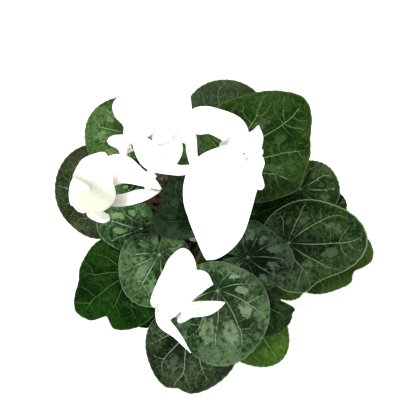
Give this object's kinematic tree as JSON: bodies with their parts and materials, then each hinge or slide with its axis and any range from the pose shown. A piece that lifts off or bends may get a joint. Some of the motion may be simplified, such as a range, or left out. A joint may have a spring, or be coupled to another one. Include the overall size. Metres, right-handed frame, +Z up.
{
  "type": "potted plant",
  "caption": "Potted cyclamen: round tapered pot, soil and tuber, heart-shaped marbled leaves on slender stalks and nodding white flowers.",
  "frame": {"origin": "centre of the flat underside of the pot", "axes": "+Z up along the pot's axis; +Y towards the back of the plant as seen in the top view, +X to its right"},
  "size_m": [0.2627, 0.2536, 0.264],
  "materials": {
    "pot_plastic": "moulded terracotta-coloured plastic",
    "soil": null,
    "tuber": null,
    "leaf_green": null,
    "stem": null,
    "petal_white": null
  },
  "bodies": {
    "root": {"pot": "pot_plastic", "soil": "soil", "tuber": "tuber", "leaf_back": "leaf_green", "leaf_stalk_back": "stem", "leaf_back_right": "leaf_green", "leaf_stalk_back_right": "stem", "leaf_right_small": "leaf_green", "leaf_stalk_right_small": "stem", "leaf_right": "leaf_green", "leaf_stalk_right": "stem", "leaf_right_under": "leaf_green", "leaf_stalk_right_under": "stem", "leaf_middle_right": "leaf_green", "leaf_stalk_middle_right": "stem", "leaf_front_right": "leaf_green", "leaf_stalk_front_right": "stem", "leaf_front_low": "leaf_green", "leaf_stalk_front_low": "stem", "leaf_front": "leaf_green", "leaf_stalk_front": "stem", "leaf_front_left": "leaf_green", "leaf_stalk_front_left": "stem", "leaf_left_low": "leaf_green", "leaf_stalk_left_low": "stem", "leaf_middle_left": "leaf_green", "leaf_stalk_middle_left": "stem", "leaf_left_small": "leaf_green", "leaf_stalk_left_small": "stem", "leaf_left": "leaf_green", "leaf_stalk_left": "stem", "leaf_back_left": "leaf_green", "leaf_stalk_back_left": "stem", "leaf_middle": "leaf_green", "leaf_stalk_middle": "stem", "flower_stalk_right": "stem", "petal_right_1": "petal_white", "petal_right_2": "petal_white", "petal_right_3": "petal_white", "petal_right_4": "petal_white", "petal_right_5": "petal_white", "flower_stalk_back_left": "stem", "petal_back_left_1": "petal_white", "petal_back_left_2": "petal_white", "petal_back_left_3": "petal_white", "petal_back_left_4": "petal_white", "petal_back_left_5": "petal_white", "flower_stalk_left": "stem", "petal_left_1": "petal_white", "petal_left_2": "petal_white", "petal_left_3": "petal_white", "petal_left_4": "petal_white", "petal_left_5": "petal_white", "flower_stalk_front": "stem", "petal_front_1": "petal_white", "petal_front_2": "petal_white", "petal_front_3": "petal_white", "petal_front_4": "petal_white", "petal_front_5": "petal_white", "flower_bud": "stem"}
  },
  "joints": []
}
